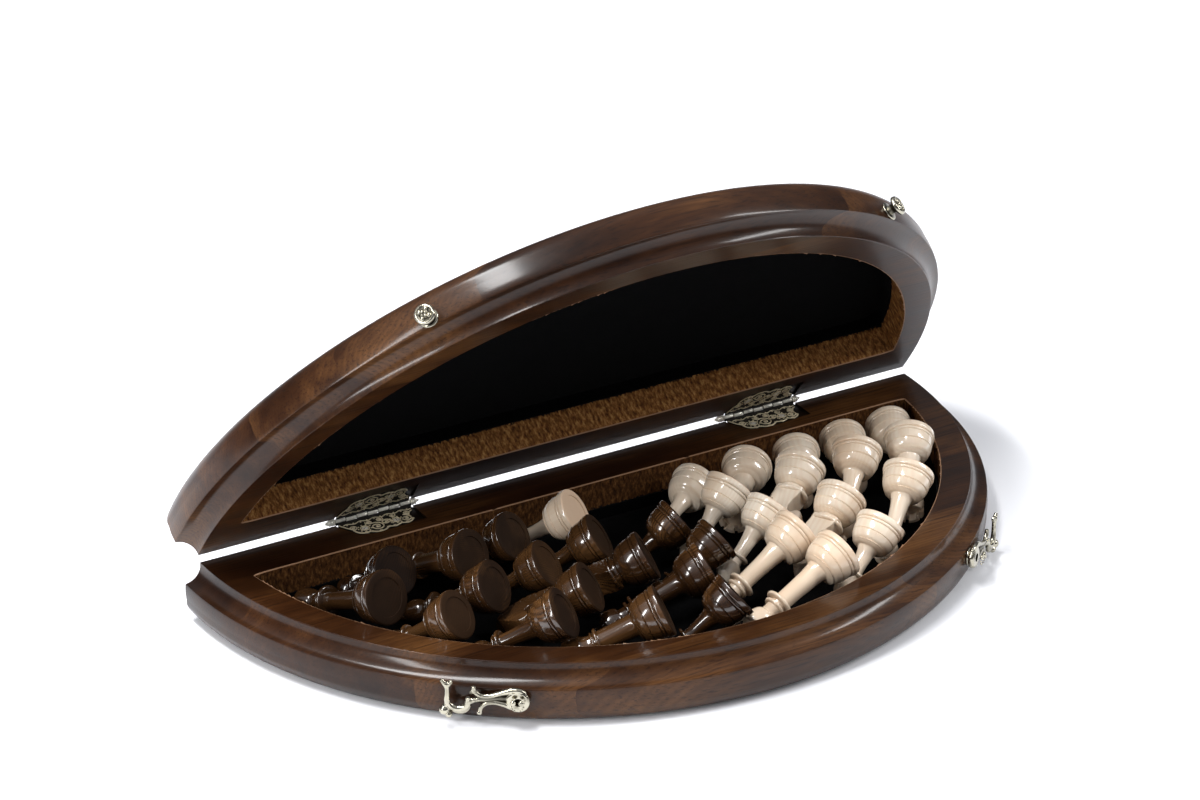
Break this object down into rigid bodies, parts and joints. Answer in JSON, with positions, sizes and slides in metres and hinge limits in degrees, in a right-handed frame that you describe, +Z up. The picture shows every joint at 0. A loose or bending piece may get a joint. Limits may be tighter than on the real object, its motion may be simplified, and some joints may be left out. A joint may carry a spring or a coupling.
{
  "type": "chess box",
  "caption": "Half-round hinged wooden box that unfolds into a round chessboard, with flocked hollows for its turned men, pin hinges and swinging hook latches",
  "frame": {"origin": "bottom centre of the bounding box of the box as it stands open on a table", "axes": "+X along the hinge line to the right, +Y to the back, +Z up"},
  "size_m": [0.417, 0.2327, 0.2089],
  "materials": {
    "case_wood": "satin-lacquered walnut-brown wood with fine straight grain",
    "black_flock": "short matt black flock",
    "light_veneer": "lacquered maple veneer",
    "dark_veneer": "lacquered walnut veneer",
    "dark_men": "turned walnut, glossy lacquer",
    "light_men": "turned pale boxwood, glossy lacquer",
    "hinge_brass": "antiqued brass, bright on the raised scrolls and knuckles",
    "latch_brass": "pale antiqued brass, polished on the edges"
  },
  "bodies": {
    "tray": {"base_shell": "case_wood", "base_flock": "black_flock", "base_light_squares": "light_veneer", "base_dark_squares": "dark_veneer", "left_hinge_base_leaf": "hinge_brass", "left_hinge_pin": "hinge_brass", "right_hinge_base_leaf": "hinge_brass", "right_hinge_pin": "hinge_brass", "base_hinge_screws": "hinge_brass", "left_pivot_screw": "latch_brass", "left_hook_washer": "latch_brass", "right_pivot_screw": "latch_brass", "right_hook_washer": "latch_brass", "light_pawn_1": "light_men", "light_rook_1": "light_men", "light_bishop_1": "light_men", "light_pawn_2": "light_men", "light_king": "light_men", "dark_pawn_1": "dark_men", "dark_rook_1": "dark_men", "dark_bishop_1": "dark_men", "dark_pawn_2": "dark_men", "dark_king": "dark_men", "light_pawn_3": "light_men", "light_bishop_2": "light_men", "light_knight_1": "light_men", "light_queen": "light_men", "dark_queen": "dark_men", "dark_knight_1": "dark_men", "dark_bishop_2": "dark_men", "dark_pawn_3": "dark_men", "light_pawn_4": "light_men", "light_knight_2": "light_men", "light_pawn_5": "light_men", "dark_pawn_4": "dark_men", "dark_knight_2": "dark_men", "dark_pawn_5": "dark_men", "dark_rook_2": "dark_men", "light_rook_2": "light_men", "light_pawn_6": "light_men", "dark_pawn_6": "dark_men", "dark_pawn_7": "dark_men", "dark_pawn_8": "dark_men", "light_pawn_7": "light_men", "light_pawn_8": "light_men"},
    "lid": {"lid_shell": "case_wood", "lid_flock": "black_flock", "lid_light_squares": "light_veneer", "lid_dark_squares": "dark_veneer", "left_hinge_lid_leaf": "hinge_brass", "right_hinge_lid_leaf": "hinge_brass", "lid_hinge_screws": "hinge_brass", "left_stud": "latch_brass", "left_stud_ring": "latch_brass", "right_stud": "latch_brass", "right_stud_ring": "latch_brass"},
    "left_hook": {"left_hook": "latch_brass"},
    "right_hook": {"right_hook": "latch_brass"}
  },
  "joints": [
    {"name": "lid_hinge", "type": "hinge", "parent": "tray", "child": "lid", "pos_m": [0, 0.09574, 0.02915], "axis": [-1, 0, 0], "range_deg": [-51.6, 128.4]},
    {"name": "left_hook_swing", "type": "hinge", "parent": "tray", "child": "left_hook", "pos_m": [-0.11959, -0.07865, 0.0153], "axis": [0.5736, 0.8192, 0], "range_deg": [-8, 90]},
    {"name": "right_hook_swing", "type": "hinge", "parent": "tray", "child": "right_hook", "pos_m": [0.12979, -0.07103, 0.0153], "axis": [0.6225, -0.7826, 0], "range_deg": [-2, 96]}
  ]
}
